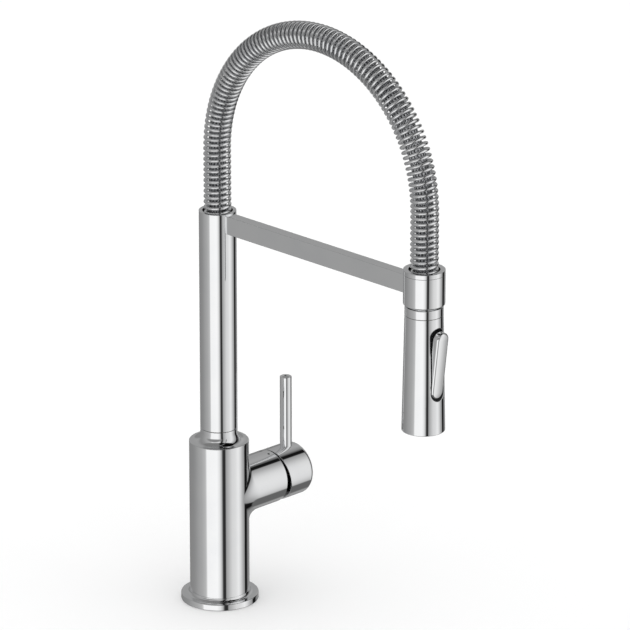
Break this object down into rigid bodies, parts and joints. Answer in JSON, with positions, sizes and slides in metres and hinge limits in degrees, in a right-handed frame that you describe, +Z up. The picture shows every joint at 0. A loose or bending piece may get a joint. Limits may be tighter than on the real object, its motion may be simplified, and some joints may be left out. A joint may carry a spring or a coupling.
{
  "type": "pull-down kitchen faucet",
  "caption": "Chrome deck-mounted mixer faucet: side lever, swivelling column, sprung hose arch and a pull-down spray head docked in a ring on an arm.",
  "frame": {"origin": "centre of the base on the deck plane", "axes": "+Z up, the spout's arm reaches to -Y, the lever stub points to +X"},
  "size_m": [0.1179, 0.2811, 0.5057],
  "materials": {
    "chrome": "polished chrome plate",
    "brass": "machined",
    "steel": "turned stainless steel",
    "hose_braid": "woven stainless wire",
    "rubber": "smooth",
    "dark_plastic": "fine moulded grain",
    "white_plastic": "moulded",
    "ceramic": "lapped ceramic"
  },
  "bodies": {
    "base": {"base_gasket": "rubber", "base_flange": "chrome", "mixer_body": "chrome", "swivel_bushes": "white_plastic", "swivel_screw": "steel", "cartridge_housing": "dark_plastic", "cartridge_seals": "rubber", "fixed_disc": "ceramic", "retaining_nut": "brass", "dome_ring": "dark_plastic", "temperature_marks": "rubber"},
    "temperature_turn": {"temperature_rotor": "white_plastic", "stem_pin": "steel"},
    "disc_slide": {"moving_disc": "ceramic", "disc_carrier": "white_plastic"},
    "handle": {"cartridge_stem": "brass", "handle_cap": "chrome", "lever_pin": "chrome", "lever_screw": "steel"},
    "spout": {"column_foot": "brass", "column_seals": "rubber", "column_tube": "chrome", "riser_tube": "steel", "hose_connector": "brass", "spring_seat": "brass", "support_arm": "chrome", "docking_ring": "chrome", "ring_cap": "chrome", "ring_liner": "dark_plastic", "arm_screws": "steel", "spring": "chrome", "inner_hose": "hose_braid"},
    "hose_end": {"spring_cup": "chrome", "hose_ferrule": "steel", "hose_fitting": "brass"},
    "spray_head": {"hose_nut": "brass", "hose_washer": "rubber", "head_collar": "chrome", "check_valve": "white_plastic", "head_shell": "chrome", "water_core": "white_plastic", "toggle_surround": "dark_plastic", "toggle_pin": "steel", "spray_plate": "dark_plastic", "plate_seal": "rubber", "spray_nozzles": "rubber", "face_ring": "chrome", "aerator": "dark_plastic", "diverter_spring": "steel"},
    "toggle": {"spray_toggle": "chrome"},
    "diverter": {"diverter_spool": "dark_plastic", "spool_seals": "rubber"}
  },
  "joints": [
    {"name": "spout_swivel", "type": "hinge", "parent": "base", "child": "spout", "pos_m": [0, 0, 0.1467], "axis": [0, 0, 1], "continuous": true},
    {"name": "lever_turn", "type": "hinge", "parent": "base", "child": "temperature_turn", "pos_m": [0.046, 0, 0.0895], "axis": [1, 0, 0], "range_deg": [-45, 45]},
    {"name": "lever_tilt", "type": "hinge", "parent": "temperature_turn", "child": "handle", "pos_m": [0.046, 0, 0.0895], "axis": [0, 1, 0], "range_deg": [0, 17]},
    {"name": "disc_travel", "type": "slide", "parent": "temperature_turn", "child": "disc_slide", "axis": [0, 0, 1], "range_m": [0, 0.00245]},
    {"name": "head_pull", "type": "slide", "parent": "spout", "child": "hose_end", "axis": [0, 0, -1], "range_m": [0, 0.15], "stiffness_N_per_m": 50, "springref_m": -0.14, "deforming": ["spring", "inner_hose"]},
    {"name": "head_spin", "type": "hinge", "parent": "hose_end", "child": "spray_head", "pos_m": [0, -0.2277, 0.3], "axis": [0, 0, 1], "continuous": true},
    {"name": "toggle_rock", "type": "hinge", "parent": "spray_head", "child": "toggle", "pos_m": [0, -0.23886, 0.26235], "axis": [1, 0, 0], "range_deg": [-14, 0]},
    {"name": "diverter_travel", "type": "slide", "parent": "spray_head", "child": "diverter", "axis": [0, 1, 0], "range_m": [0, 0.0032], "deforming": ["diverter_spring"]}
  ],
  "couplings": [
    {"joint": "disc_travel", "follows": "lever_tilt", "m_per_rad": 0.00808},
    {"joint": "diverter_travel", "follows": "toggle_rock", "m_per_rad": -0.012871}
  ]
}
